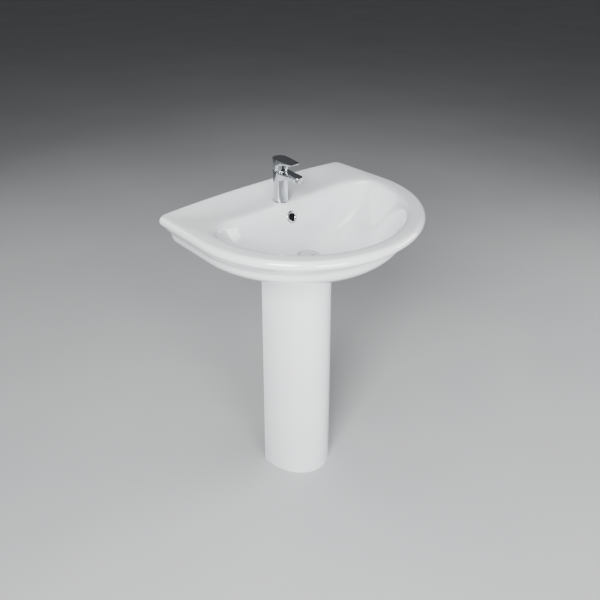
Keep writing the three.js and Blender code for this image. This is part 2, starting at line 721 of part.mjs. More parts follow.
// The cartridge, from its seal up: heights from the foot of the tap body.
const pivotHeight = tapHeight - stemPivot;
const stemTop = tapHeight + 17;
function cartridge() {
  const floor = cartridgeFloor + gap;
  add('cartridge_seal', atTap(tube(7, cartridgeRadius - 2, floor, floor + 1.2, coarse)), 'rubber');
  const low = floor + 1.2 + gap;
  const high = tapHeight - 6;
  const housing = [
    [6, low], [cartridgeRadius, low], [cartridgeRadius, high], [cartridgeRadius - 1.6, high],
    [cartridgeRadius - 1.6, low + 2], [6, low + 2],
  ];
  add('cartridge_housing', atTap(turned(housing, coarse)), 'whitePlastic');
  const inside = cartridgeRadius - 2.2;
  const discLow = low + 2 + gap;
  const ports = [-4, 4].map((x) => bar(2, discLow - 1, discLow + 5, 8).translate(x, 2, 0));
  const outlet = bar(2.6, discLow - 1, discLow + 5, 8).translate(0, -4, 0);
  add('fixed_disc', atTap(cut(bar(inside, discLow, discLow + 3, coarse), ...ports, outlet)), 'ceramic');
  const plateLow = discLow + 3 + gap;
  const plate = bar(inside - 2.8, plateLow, plateLow + 2.5, coarse);
  const block = new THREE.BoxGeometry(7.6, 9.6, 3.5).translate(0, 0, plateLow + 3);
  const pocket = new THREE.BoxGeometry(6, 6.8, 4).translate(0, 0, plateLow + 4.4);
  add('moving_disc', atTap(cut(join(plate, block), pocket)), 'ceramic');
  const carrierLow = plateLow + 2.5 + 2 * gap;
  const carrier = bar(inside, carrierLow, high - 1, coarse);
  const slot = new THREE.BoxGeometry(8.6, 2 * (inside - 1.9), 40).translate(0, 0, high);
  const pinBore = bar(1.5, -cartridgeRadius, cartridgeRadius, coarse);
  const pinWay = pinBore.rotateY(Math.PI / 2).translate(0, 0, pivotHeight);
  add('swivel_carrier', atTap(cut(carrier, slot, pinWay)), 'greyPlastic');
  const pin = bar(1.2, -inside + 1, inside - 1, coarse).rotateY(Math.PI / 2).translate(0, 0, pivotHeight);
  add('lever_pin', atTap(pin), 'steel');
  const nut = tube(cartridgeRadius - 2.2, cartridgeRadius - 0.2, high + gap, tapHeight, coarse);
  add('cartridge_nut', atTap(nut), 'brass');
  const foot = new THREE.BoxGeometry(5, 5, 4).translate(0, 0, plateLow + 2.8 + 2);
  const stemLow = plateLow + 6;
  const shank = new THREE.BoxGeometry(7, 7, stemTop - stemLow).translate(0, 0, (stemTop + stemLow) / 2);
  const stemWay = bar(1.6, -12, 12, coarse).rotateY(Math.PI / 2).translate(0, 0, pivotHeight);
  add('lever_stem', atTap(cut(join(foot, shank), stemWay)), 'steel');
}
cartridge();

function tapDome() {
  const low = tapHeight + gap;
  return atTap(turned([
    [cartridgeRadius - 2, low], [tapRadius - 3, low], [tapRadius - 4, low + 1.6],
    [tapRadius - 6.5, low + 2.8],
    [cartridgeRadius - 2, low + 3],
  ], round));
}
add('tap_dome', tapDome(), 'chrome');

const screwHeight = tapHeight + 13;
function leverHandle() {
  const low = tapHeight + handleGap;
  const block = sideways([
    [-30, low + (handleRelief * 30) / tapRadius], [0, low], [30, low], [30, handleTop - 3],
    [8, handleTop - 0.8],
    [-tapRadius + 5, handleTop], [-tapRadius + 1, handleTop - 1], [-tapRadius - 0.5, handleTop - 3],
    [-30, handleTop - 3],
  ], 60);
  const drum = common(bar(tapRadius, low - 5, handleTop + 5, round * 1.5), block);
  const side = [
    [0, handleTop - 16], [tapRadius - 1, handleTop - 13], [tapRadius + 6, leverTipTop - 6.2],
    [leverReach - 1.5, leverTipTop - 4.2], [leverReach, leverTipTop - 3.2],
    [leverReach, leverTipTop - 1],
    [leverReach - 1.2, leverTipTop], [8, handleTop - 0.8], [0, handleTop - 0.5],
  ];
  const half = leverTipWidth / 2;
  const plan = [
    [-tapRadius + 0.3, 0], [-half - 1.6, -leverReach * 0.6], [-half, -leverReach + 4],
    [-half + 4, -leverReach - 1],
    [half - 4, -leverReach - 1], [half, -leverReach + 4], [half + 1.6, -leverReach * 0.6],
    [tapRadius - 0.3, 0],
  ];
  const cavity = bar(tapRadius - 1.8, 0, tapHeight + 8.5, round);
  const socket = new THREE.BoxGeometry(7.6, 7.6, 30).translate(0, 0, stemTop + 0.6 - 15);
  const screwWay = bar(2.8, 0, 40, coarse).rotateX(Math.PI / 2).translate(0, 0, screwHeight);
  const capWay = bar(4.2, tapRadius - 3.4, 40, coarse).rotateX(Math.PI / 2).translate(0, 0, screwHeight);
  return atTap(cut(join(drum, wedge(side, plan)), cavity, socket, screwWay, capWay));
}
add('lever_handle', leverHandle(), 'chrome');

function handleFixing() {
  const facing = (geometry) => atTap(geometry.rotateX(Math.PI / 2).translate(0, 0, screwHeight));
  const key = bar(1.3, 9, 20, 6);
  add('handle_screw', facing(cut(bar(2.5, 3.5 + gap, 12, coarse), key)), 'steel');
  add('index_cap', facing(bar(3.9, tapRadius - 3.4 + gap, tapRadius - 0.4, coarse)), 'greyPlastic');
}
handleFixing();

// ---- waste ----
function atWaste(geometry) {
  return geometry.translate(0, -wasteFromWall, 0);
}
const wasteSealTop = bowlFloor + gap + 2;
const flangeLow = wasteSealTop + gap;
const tubeInside = wasteTube - wasteTubeWall;

function wasteBody() {
  const section = [
    [tubeInside, wasteEnd], [wasteTube, wasteEnd], [wasteTube, flangeLow], [wasteFlange, flangeLow],
    [wasteFlange, flangeLow + 1.2], [wasteFlange - 2.5, flangeLow + 2.6],
    [wasteTube + 3.5, flangeLow + 2.2],
    [tubeInside, flangeLow - 1],
  ];
  const slotMiddle = bowlFloor - china - ductFall - ductDepth / 2;
  const slots = [0, 1].map((turn) => (
    new THREE.BoxGeometry(14, 60, ductDepth).rotateZ((turn * Math.PI) / 2).translate(0, 0, slotMiddle)
  ));
  return atWaste(cut(turned(section, 28), ...slots));
}
add('waste_body', wasteBody(), 'chrome');
const topSeal = tube(wasteTube + 0.5, wasteFlange - 2, bowlFloor + gap, wasteSealTop, coarse);
add('waste_top_seal', atWaste(topSeal), 'rubber');

const lowerSealHigh = bossBottom - gap;
const lowerSealLow = lowerSealHigh - washerThickness;
const lowerSeal = tube(wasteTube + 0.8, wasteBoss - 5, lowerSealLow, lowerSealHigh, coarse);
add('waste_lower_seal', atWaste(lowerSeal), 'rubber');
const backnutHigh = lowerSealLow - gap;
function wasteBacknut() {
  const flange = tube(wasteTube + gap, wasteBoss - 5, backnutHigh - 3, backnutHigh);
  const flats = bar((wasteTube + 7) / Math.cos(Math.PI / 6), backnutHigh - 12, backnutHigh - 2, 6);
  return atWaste(cut(join(flange, flats), bar(wasteTube + gap, backnutHigh - 20, backnutHigh + 5)));
}
add('waste_backnut', wasteBacknut(), 'brass');

const plugLow = flangeLow + 3;
const guideLow = wasteEnd + 22;
const guideHigh = guideLow + 28;
const springRadius = 6;
const springWire = 0.8;
function plugGuide() {
  const rim = tube(tubeInside - 2.2, tubeInside - gap, guideLow, guideLow + 10);
  const arm = new THREE.BoxGeometry(2 * tubeInside - 2.4, 3, 8).translate(0, 0, guideLow + 5);
  const arms = [arm, arm.clone().rotateZ(Math.PI / 2)];
  const whole = join(rim, bar(springRadius + 1, guideLow, guideHigh), ...arms);
  return atWaste(cut(whole, bar(3.3, guideLow - 5, guideHigh + 5, coarse)));
}
add('plug_guide', plugGuide(), 'whitePlastic');

function wastePlug() {
  const section = [
    [0, guideLow + 4], [3, guideLow + 4], [3, plugLow - 5], [springRadius + 1.5, plugLow - 5],
    [springRadius + 1.5, plugLow - 1], [plugRadius - 1, plugLow - 1], [plugRadius - 1, plugLow + 1],
    [plugRadius + 3, plugLow + 1], [plugRadius + 3.4, plugLow + 2], [plugRadius + 2, plugLow + 3.2],
    [plugRadius - 5, plugLow + 4.6], [0, plugLow + 5],
  ];
  return atWaste(turned(section, 28));
}
add('waste_plug', wastePlug(), 'chrome');
const plugRing = tube(plugRadius - 1 + gap, plugRadius + 0.6, plugLow - 0.8, plugLow + 1 - gap, 28);
add('plug_seal', atWaste(plugRing), 'rubber');

function plugSpring() {
  const turns = 5;
  const low = guideHigh + gap + springWire;
  const high = plugLow - 5 - gap - springWire;
  const steps = turns * 8;
  const points = [];
  for (let k = 0; k <= steps; k += 1) {
    const angle = (Math.PI * 2 * turns * k) / steps;
    const height = mix(low, high, k / steps);
    points.push(new THREE.Vector3(springRadius * Math.cos(angle), springRadius * Math.sin(angle), height));
  }
  const section = new THREE.Shape().absarc(0, 0, springWire, 0, Math.PI * 2, false);
  const path = new THREE.CatmullRomCurve3(points);
  return atWaste(new THREE.ExtrudeGeometry(section, { steps, curveSegments: 3, extrudePath: path }));
}
add('plug_spring', plugSpring(), 'steel');

// ---- trap ----
const neck = wasteTube + gap;
const trapTop = outletHeight + 31;
const trapJoint = outletHeight - 27;
const neckTop = wasteEnd - 2 - 2 * gap - 4;
function trapInlet() {
  const high = wasteEnd + 12;
  const shoulder = wasteEnd - 2;
  const nut = turned([
    [neck, high], [neck, shoulder], [neck + 4.2, shoulder], [neck + 4.2, shoulder - nutSkirt],
    [neck + 8, shoulder - nutSkirt], [neck + 8, high - 3], [neck + 5, high],
  ], round);
  const washer = tube(neck + 0.4, neck + 3.6, shoulder - gap - 4, shoulder - gap, coarse);
  add('trap_inlet_nut', atWaste(nut), 'whitePlastic');
  add('trap_inlet_washer', atWaste(washer), 'rubber');
}
trapInlet();

const outletNeck = pipeRadius + gap;
const outletEnd = wasteFromWall - trapRadius - 24; // wall to the open end of the trap's outlet
function alongOutlet(geometry) {
  return geometry.rotateX(Math.PI / 2).translate(0, 0, outletHeight);
}

function trapBody() {
  const stub = alongOutlet(bar(outletNeck + 3.4, outletEnd, wasteFromWall - 4));
  const head = atWaste(bar(trapRadius, trapJoint, trapTop, round));
  const collar = atWaste(bar(neck + 3.6, trapTop - 1, neckTop, round));
  const inside = atWaste(bar(trapRadius - trapWall, trapJoint - 1, trapTop - 4, round));
  const outletWay = alongOutlet(bar(outletNeck, outletEnd - 5, wasteFromWall));
  const shell = cut(join(head, collar, stub), inside, outletWay);
  const dip = atWaste(bar(dipRadius, trapBottom + 26, trapTop - 2));
  const socket = atWaste(bar(neck, trapTop, neckTop + 5, round));
  return cut(join(shell, dip), socket, atWaste(bar(dipRadius - 2, trapBottom, trapTop + 5)));
}
add('trap_body', trapBody(), 'whitePlastic');

function trapBottle() {
  const thread = trapRadius - trapWall - gap;
  const collarTop = trapJoint - 2.6;
  return atWaste(turned([
    [0, trapBottom], [trapRadius - 6, trapBottom], [trapRadius - 1.5, trapBottom + 6],
    [trapRadius - 1.5, collarTop - 11], [trapRadius + 2.5, collarTop - 10],
    [trapRadius + 2.5, collarTop],
    [thread, collarTop], [thread, trapJoint + 12], [trapRadius - 6, trapJoint + 12],
    [trapRadius - 6, trapBottom + 8], [trapRadius - 10, trapBottom + 3], [0, trapBottom + 3],
  ], round));
}
add('trap_bottle', trapBottle(), 'whitePlastic');
const bottleSeal = tube(trapRadius - trapWall, trapRadius, trapJoint - 2.3, trapJoint - gap, round);
add('trap_bottle_seal', atWaste(bottleSeal), 'rubber');

function trapOutlet() {
  const stub = outletNeck + 3.4;
  const shoulder = outletEnd - gap - 4;
  const nut = [
    [outletNeck, shoulder - 5], [stub + 1, shoulder - 5], [stub + 4, shoulder - 2],
    [stub + 4, outletEnd + 12],
    [stub + gap, outletEnd + 12], [stub + gap, shoulder - gap], [outletNeck, shoulder - gap],
  ];
  add('trap_outlet_nut', alongOutlet(turned(nut, round)), 'whitePlastic');
  const washer = tube(outletNeck + 0.3, stub, shoulder, outletEnd - gap, coarse);
  add('trap_outlet_washer', alongOutlet(washer), 'rubber');
  const pipe = tube(pipeRadius - pipeWall, pipeRadius, -pipeInWall, outletEnd + 14);
  add('waste_pipe', alongOutlet(pipe), 'whitePlastic');
  const rose = [
    [outletNeck, gap], [pipeRadius + roseMargin, gap], [pipeRadius + roseMargin - 0.5, 1.5],
    [pipeRadius + 3, 3], [pipeRadius + 2, 8], [outletNeck, 8],
  ];
  add('pipe_rose', alongOutlet(turned(rose, round)), 'chrome');
}
trapOutlet();

export default sink;
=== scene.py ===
# White pedestal wash basin with a chrome single lever mixer, a push plug waste and a bottle trap.
# Metres, Z up, +Y towards the wall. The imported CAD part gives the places; lists of sizes are in mm.
import json
import math
import bpy
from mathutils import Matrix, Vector


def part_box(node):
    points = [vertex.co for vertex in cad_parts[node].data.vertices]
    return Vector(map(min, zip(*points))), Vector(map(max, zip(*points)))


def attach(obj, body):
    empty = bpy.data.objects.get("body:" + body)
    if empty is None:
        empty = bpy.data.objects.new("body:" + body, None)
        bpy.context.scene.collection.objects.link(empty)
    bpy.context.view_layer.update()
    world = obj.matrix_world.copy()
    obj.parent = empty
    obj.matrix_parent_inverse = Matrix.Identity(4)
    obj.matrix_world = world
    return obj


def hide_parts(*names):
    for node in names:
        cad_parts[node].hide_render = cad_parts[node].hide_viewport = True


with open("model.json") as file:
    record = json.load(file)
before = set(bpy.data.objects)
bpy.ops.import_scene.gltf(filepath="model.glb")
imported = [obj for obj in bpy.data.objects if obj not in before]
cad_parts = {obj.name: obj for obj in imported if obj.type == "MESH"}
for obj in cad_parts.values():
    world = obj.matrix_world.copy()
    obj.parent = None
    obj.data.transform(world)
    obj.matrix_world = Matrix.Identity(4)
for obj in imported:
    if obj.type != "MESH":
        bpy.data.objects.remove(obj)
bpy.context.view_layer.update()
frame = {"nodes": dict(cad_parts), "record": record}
mm = 0.001
mergeDistance = 0.00001
overcut = 0.01  # how far a cut runs on past the surface that it opens
slotOf = {part["node"]: part["material_slot"] for part in frame["record"]["subparts"]}
basinLow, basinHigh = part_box("basin")
wallY = basinHigh.y
print("frame loaded:", len(frame["nodes"]), "nodes")


# modelling helpers

def activate(piece):
    if bpy.context.object and bpy.context.object.mode != "OBJECT":
        bpy.ops.object.mode_set(mode="OBJECT")
    bpy.ops.object.select_all(action="DESELECT")
    piece.select_set(True)
    bpy.context.view_layer.objects.active = piece


def newest(name):
    piece = bpy.context.object
    piece.name = name
    bpy.ops.object.transform_apply(location=True, rotation=True, scale=True)
    return piece


def startEdit():
    bpy.ops.object.mode_set(mode="EDIT")
    bpy.ops.mesh.select_all(action="SELECT")


def endEdit():
    # turns every face outwards on the way out
    bpy.ops.mesh.select_all(action="SELECT")
    bpy.ops.mesh.normals_make_consistent(inside=False)
    bpy.ops.object.mode_set(mode="OBJECT")


def applyModifier(piece, kind, **settings):
    activate(piece)
    modifier = piece.modifiers.new(kind.lower(), kind)
    for key, value in settings.items():
        setattr(modifier, key, value)
    bpy.ops.object.modifier_apply(modifier=modifier.name)


def combine(piece, other, operation):
    # joins or cuts with another shape, which is then thrown away
    applyModifier(piece, "BOOLEAN", object=other, operation=operation, solver="EXACT")
    bpy.data.objects.remove(other)
    return piece


def carve(piece, *others):
    for other in others:
        combine(piece, other, "DIFFERENCE")
    return piece


def soften(piece, width, segments=3, angle=32):
    # rounds the sharp edges and smooths the rest
    applyModifier(piece, "BEVEL", width=width * mm, segments=segments, limit_method="ANGLE",
                  angle_limit=math.radians(angle), harden_normals=False, miter_outer="MITER_ARC")
    smooth(piece)


def smooth(piece, angle=38):
    activate(piece)
    bpy.ops.object.shade_smooth_by_angle(angle=math.radians(angle))


def cylinder(name, radius, low, high, x=0.0, y=0.0, sides=64, axis="Z"):
    # low and high are along the axis, x and y are the other two coordinates
    middle = (low + high) / 2
    places = {"Z": (x, y, middle), "Y": (x, middle, y), "X": (middle, x, y)}
    turns = {"Z": (0, 0, 0), "Y": (math.pi / 2, 0, 0), "X": (0, math.pi / 2, 0)}
    bpy.ops.object.select_all(action="DESELECT")
    bpy.ops.mesh.primitive_cylinder_add(vertices=sides, radius=radius, depth=high - low,
                                        location=places[axis], rotation=turns[axis])
    return newest(name)


def cuboid(name, low, high):
    low, high = Vector(low), Vector(high)
    bpy.ops.object.select_all(action="DESELECT")
    bpy.ops.mesh.primitive_cube_add(size=1, location=(low + high) / 2)
    bpy.context.object.scale = high - low
    return newest(name)


def extrudeSections(name, sections):
    # a bar along Y: its end face is extruded from section to section, each (y, low, high, half width)
    y, low, high, half = sections[0]
    bpy.ops.object.select_all(action="DESELECT")
    bpy.ops.mesh.primitive_plane_add(size=1, location=(0, y, (low + high) / 2),
                                     rotation=(math.pi / 2, 0, 0))
    bpy.context.object.scale = (2 * half, high - low, 1)
    piece = newest(name)
    startEdit()
    for nextY, nextLow, nextHigh, nextHalf in sections[1:]:
        rise = (nextLow + nextHigh - low - high) / 2
        bpy.ops.mesh.extrude_region_move(TRANSFORM_OT_translate={"value": (0, nextY - y, rise)})
        growth = (nextHalf / half, 1, (nextHigh - nextLow) / (high - low))
        bpy.ops.transform.resize(value=growth, center_override=(0, nextY, (nextLow + nextHigh) / 2))
        y, low, high, half = nextY, nextLow, nextHigh, nextHalf
    endEdit()
    return piece


def spun(name, profile, centre, axis=(0, 0, 1), steps=64):
    # a closed profile of (radius, height) in mm, spun round an axis through a centre in metres
    axis = Vector(axis).normalized()
    side = axis.cross(Vector((1, 0, 0))).normalized()
    bpy.ops.object.select_all(action="DESELECT")
    bpy.ops.mesh.primitive_circle_add(vertices=len(profile), radius=1)
    piece = newest(name)
    for vertex, (radius, height) in zip(piece.data.vertices, profile):
        vertex.co = Vector(centre) + side * radius * mm + axis * height * mm
    startEdit()
    bpy.ops.mesh.spin(steps=steps, angle=2 * math.pi, center=centre, axis=axis)
    bpy.ops.mesh.select_all(action="SELECT")
    bpy.ops.mesh.remove_doubles(threshold=mergeDistance)
    endEdit()
    return piece


def ballThroughRings(name, rings):
    # a ball whose parallels are moved on to the rings, so its poles close the first and the last
    count = len(rings[0])
    bpy.ops.object.select_all(action="DESELECT")
    bpy.ops.mesh.primitive_uv_sphere_add(segments=count, ring_count=len(rings) + 1, radius=1)
    piece = newest(name)
    middles = [sum(ring, Vector()) / count for ring in (rings[0], rings[-1])]
    for vertex in piece.data.vertices:
        row = round(math.acos(max(-1, min(1, vertex.co.z))) / math.pi * (len(rings) + 1))
        column = round(math.atan2(vertex.co.y, vertex.co.x) / (2 * math.pi) * count) % count
        if row == 0:
            vertex.co = middles[0]
        elif row > len(rings):
            vertex.co = middles[1]
        else:
            vertex.co = rings[row - 1][column]
    activate(piece)
    startEdit()
    endEdit()
    return piece


def finish(piece, body, nodes):
    # rides a body, stands for its CAD nodes and takes their finish
    slotName = slotOf[nodes[0]]
    piece.data.materials.clear()
    piece.data.materials.append(materials[slotName])
    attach(piece, body)
    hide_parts(*nodes)


# materials

def hexColour(code):
    channels = [int(code[k:k + 2], 16) / 255 for k in (1, 3, 5)]
    return [c / 12.92 if c < 0.04045 else ((c + 0.055) / 1.055) ** 2.4 for c in channels] + [1]


def addNode(tree, kind, settings=(), **links):
    added = tree.nodes.new(kind)
    for key, value in dict(settings).items():
        if isinstance(key, str) and hasattr(added, key) and key not in added.inputs:
            setattr(added, key, value)
        else:
            added.inputs[key].default_value = value
    for socket, source in links.items():
        tree.links.new(source, added.inputs[socket.replace("_", " ")])
    return added


def addNoise(tree, place, size, detail):
    return addNode(tree, "ShaderNodeTexNoise", {"Scale": 1 / (size * mm), "Detail": detail}, Vector=place)


waveLength = 0.314  # metres between the bands of a wave texture at a scale of 1
ridgeStrength = 0.6


def makeFinish(name, look):
    # patch, smear and grain are sizes in mm, of what varies its colour, its gloss and its relief
    made = bpy.data.materials.new(name)
    made.use_nodes = True
    tree = made.node_tree
    shader = tree.nodes["Principled BSDF"]
    for key, value in look.get("shader", {}).items():
        shader.inputs[key].default_value = value
    place = addNode(tree, "ShaderNodeTexCoord").outputs["Object"]
    patch = addNoise(tree, place, look["patch"], 3.0)
    spread = addNode(tree, "ShaderNodeMapRange", {"From Min": 0.35, "From Max": 0.65},
                     Value=patch.outputs["Fac"])
    colour = addNode(tree, "ShaderNodeMix", {"data_type": "RGBA"})
    colour.inputs[6].default_value = hexColour(look["colours"][0])
    colour.inputs[7].default_value = hexColour(look["colours"][1])
    tree.links.new(spread.outputs["Result"], colour.inputs[0])
    tree.links.new(colour.outputs[2], shader.inputs["Base Color"])
    smear = addNoise(tree, place, look["smear"], 5.0)
    low, high = look["rough"]
    gloss = addNode(tree, "ShaderNodeMapRange",
                    {"From Min": 0.3, "From Max": 0.7, "To Min": low, "To Max": high},
                    Value=smear.outputs["Fac"])
    tree.links.new(gloss.outputs["Result"], shader.inputs["Roughness"])
    grain = addNoise(tree, place, look["grain"], 2.0)
    relief = addNode(tree, "ShaderNodeBump", {"Strength": look["strength"], "Distance": look["depth"] * mm},
                     Height=grain.outputs["Fac"])
    if "pitch" in look:  # turned or threaded, with rings round the axis that it was made on
        rings = addNode(tree, "ShaderNodeTexWave", {"bands_direction": look["along"],
                        "Scale": waveLength / (look["pitch"] * mm), "Distortion": 0.0}, Vector=place)
        relief = addNode(tree, "ShaderNodeBump",
                         {"Strength": ridgeStrength, "Distance": look["ridge"] * mm},
                         Height=rings.outputs["Fac"], Normal=relief.outputs["Normal"])
    tree.links.new(relief.outputs["Normal"], shader.inputs["Normal"])
    return made


looks = {
    # slip cast, sprayed with a clear white glaze and fired: a deep gloss with a faint orange peel
    "vitreous_china": {"colours": ("#f0f2f4", "#eceef1"), "patch": 160, "smear": 60, "rough": (0.1, 0.17),
                       "grain": 9, "strength": 0.05, "depth": 0.05,
                       "shader": {"IOR": 1.52, "Coat Weight": 1.0, "Coat Roughness": 0.03,
                                  "Coat IOR": 1.55}},
    # painted shade: a matt near black for the china deep inside the overflow passage, standing in for the
    # shade that falls there
    "painted_shade_china": {"colours": ("#23211f", "#1a1918"), "patch": 12, "smear": 6, "rough": (0.7, 0.85),
                   "grain": 0.8, "strength": 0.2, "depth": 0.05, "shader": {"IOR": 1.5}},
    # polished brass under bright nickel and chrome: a cold mirror, with faint wipe marks
    "chromed_brass": {"colours": ("#d5d8dc", "#cbced3"), "patch": 30, "smear": 12, "rough": (0.05, 0.12),
                      "grain": 14, "strength": 0.04, "depth": 0.05, "shader": {"Metallic": 1.0}},
    # zinc plated steel: grey, with a soft mottled sheen
    "zinc_steel": {"colours": ("#b9bcbf", "#9da1a6"), "patch": 4, "smear": 3, "rough": (0.25, 0.42),
                   "grain": 0.8, "strength": 0.25, "depth": 0.04, "shader": {"Metallic": 1.0}},
    # the same steel with a rolled thread along Y, drawn at its real pitch
    "threaded_steel": {"colours": ("#b4b7ba", "#989ca1"), "patch": 4, "smear": 3, "rough": (0.25, 0.4),
                       "grain": 0.8, "strength": 0.2, "depth": 0.04, "shader": {"Metallic": 1.0},
                       "pitch": 1.5, "along": "Y", "ridge": 0.6},
    # turned brass: warm, with fine tool rings
    "brass": {"colours": ("#c2a05c", "#a98848"), "patch": 9, "smear": 5, "rough": (0.2, 0.36),
              "grain": 1.2, "strength": 0.15, "depth": 0.03, "shader": {"Metallic": 1.0},
              "pitch": 0.6, "along": "Z", "ridge": 0.02},
    # drawn copper tube: bright with darker patches where it has been handled
    "copper": {"colours": ("#c7825c", "#a4623f"), "patch": 14, "smear": 8, "rough": (0.18, 0.38),
               "grain": 1.5, "strength": 0.12, "depth": 0.03, "shader": {"Metallic": 1.0}},
    # moulded polypropylene: white with a waxy sheen and a fine spark eroded grain
    "white_plastic": {"colours": ("#efeeea", "#e6e5e0"), "patch": 40, "smear": 10, "rough": (0.32, 0.45),
                      "grain": 0.7, "strength": 0.12, "depth": 0.03,
                      "shader": {"IOR": 1.49, "Subsurface Weight": 0.05}},
    # moulded acetal: mid grey and slightly greasy
    "grey_plastic": {"colours": ("#63676b", "#565a5e"), "patch": 12, "smear": 6, "rough": (0.3, 0.42),
                     "grain": 0.6, "strength": 0.12, "depth": 0.02, "shader": {"IOR": 1.48}},
    # lapped alumina: cream, flat and even
    "alumina": {"colours": ("#f1ede3", "#e7e2d6"), "patch": 6, "smear": 4, "rough": (0.12, 0.2),
                "grain": 0.4, "strength": 0.05, "depth": 0.01, "shader": {"IOR": 1.76}},
    # moulded nitrile rubber: near black with a dusty bloom
    "rubber": {"colours": ("#1d1d1e", "#2a2a2b"), "patch": 7, "smear": 5, "rough": (0.55, 0.75),
               "grain": 0.9, "strength": 0.2, "depth": 0.04, "shader": {"IOR": 1.52}},
    # painted studio floor: pale, matt and very slightly uneven
    "studio_floor": {"colours": ("#b9babb", "#b4b5b7"), "patch": 900, "smear": 300, "rough": (0.6, 0.75),
                     "grain": 3, "strength": 0.05, "depth": 0.1, "shader": {"IOR": 1.45}},
}
materials = {name: makeFinish(name, look) for name, look in looks.items()}
print("materials made:", len(materials))


# basin, in mm from the wall and the floor

rearCrown = 9.5  # the middle of the rear edge stands this far above the rim
seatGap = 0.3  # between the basin and the pedestal's seal
basin = {
    "halfWidth": 300, "depth": 474, "rim": basinHigh.z / mm - rearCrown, "crownFall": 2.4,
    "roll": 12, "rollSteps": 8, "rearRoll": 5.5, "lip": 46, "lipFront": 38, "lipDrop": 2.5, "turn": 181,
    "rearCorner": 15,
    "ridge": 125, "ridgeDrop": 21, "ridgeCorner": 90, "creaseSide": 15, "creaseFront": 32, "creaseDrop": 35,
    "underWaist": 45, "bowlDepth": 134, "wasteY": 200, "wasteFloor": 36, "china": 11,
    "seatHalf": 110, "seatFront": 278, "seatTurn": 130,
    "seatHeight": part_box("pedestal_seal")[1].z / mm + seatGap,
    "hollowFirst": 2, "hollowRise": 4, "ceilingDrop": 24.5, "collarRise": 20,
    "wellMargin": 35, "wellBelow": 40, "wellAbove": 30, "smoothAngle": 34,
    "ringSteps": {"front": 24, "side": 7, "corner": 9, "back": 10},
    "bowl": [(0, 0), (0.16, 0.025), (0.34, 0.09), (0.52, 0.2), (0.68, 0.36), (0.8, 0.55), (0.88, 0.725),
             (0.94, 0.875), (0.975, 0.965), (1, 1)],
    "bowlBack": [(0, 0), (0.06, 0.025), (0.12, 0.08), (0.2, 0.18), (0.31, 0.34), (0.44, 0.52), (0.57, 0.68),
                 (0.72, 0.82), (0.87, 0.935), (1, 1)],
    # share of the lip, drop, wall to the back, the back's drop, corner across and corner deep
    "rimTop": [(0.83, 0.6, 119, 12.6, 82, 58), (0.65, 0.1, 97, 11.4, 66, 52), (0.48, 0, 68, 9.8, 48, 42),
               (0.35, 0.2, 36, 2, 30, 28)],
    "under": [(0, 0), (0.04, 0.06), (0.07, 0.13), (0.08, 0.21), (0.095, 0.29), (0.15, 0.38), (0.24, 0.475),
              (0.37, 0.58), (0.53, 0.7), (0.7, 0.835), (0.85, 0.93), (1, 1)],
}


def mix(start, end, share):
    return start + (end - start) * share


def halfOutline(half, front, turn, rear, cornerX, cornerY):
    # from the front middle round the right side to the back middle, as (x, distance from the wall)
    steps = basin["ringSteps"]
    straight = turn - rear - cornerY
    lead = 0 if straight > 1 else math.pi / 6  # with no straight side the corner starts part way round

    def corner(angle):
        return half - cornerX * (1 - math.cos(angle)), rear + cornerY * (1 - math.sin(angle))

    points = []
    for k in range(steps["front"]):
        angle = math.pi / 2 * (1 - k / steps["front"])
        points.append((half * math.cos(angle), turn + (front - turn) * math.sin(angle)))
    for k in range(steps["side"]):
        share = k / steps["side"]
        points.append(corner(lead * share) if lead else (half, turn - straight * share))
    for k in range(steps["corner"]):
        points.append(corner(mix(lead, math.pi / 2, k / steps["corner"])))
    for k in range(steps["back"] + 1):
        points.append(((half - cornerX) * (1 - k / steps["back"]), rear))
    return points


def basinRing(half, front, turn, rear, cornerX, cornerY, height, backHeight):
    right = halfOutline(half, front, turn, rear, cornerX, cornerY)
    left = [(-x, distance) for x, distance in right[-2:0:-1]]
    ring = []
    for x, distance in right + left:
        share = 1 - abs(x / half) ** basin["crownFall"] if distance < turn else 0
        ring.append(Vector((x * mm, wallY - distance * mm, mix(height, backHeight, share) * mm)))
    return ring


def bowlRings(b, offset):
    floor, lip, ridge = b["rim"] - b["bowlDepth"], b["rim"] - b["lipDrop"], b["rim"] - b["ridgeDrop"]
    rings = []
    for (out, up), (backOut, backUp) in zip(b["bowl"], b["bowlBack"]):
        turn = mix(b["wasteY"], b["turn"], out)
        rear = mix(b["wasteY"] - b["wasteFloor"], b["ridge"], backOut) - offset
        rings.append((mix(b["wasteFloor"], b["halfWidth"] - b["lip"], out) + offset,
                      mix(b["wasteY"] + b["wasteFloor"], b["depth"] - b["lipFront"], out) + offset,
                      turn, rear,
                      mix(b["wasteFloor"], b["ridgeCorner"], out) + offset, turn - rear,
                      mix(floor, lip, up) - offset, mix(floor, ridge, backUp) - offset))
    return rings


def rimRings(b):
    rings = [(b["halfWidth"] - share * b["lip"], b["depth"] - share * b["lipFront"], b["turn"], back,
              across, deep, b["rim"] - drop, b["rim"] - backDrop)
             for share, drop, back, backDrop, across, deep in b["rimTop"]]
    for k in range(b["rollSteps"] + 1):
        angle = math.pi * (0.5 - k / b["rollSteps"])
        inset = b["roll"] * (1 - math.cos(angle))
        height = b["rim"] - b["roll"] * (1 - math.sin(angle))
        rear = b["rearRoll"] * (1 - math.cos(angle)) if angle > 0 else 0
        rings.append((b["halfWidth"] - inset, b["depth"] - inset, b["turn"], rear, b["rearCorner"],
                      b["rearCorner"], height, height + rearCrown * max(0, math.sin(angle))))
    return rings


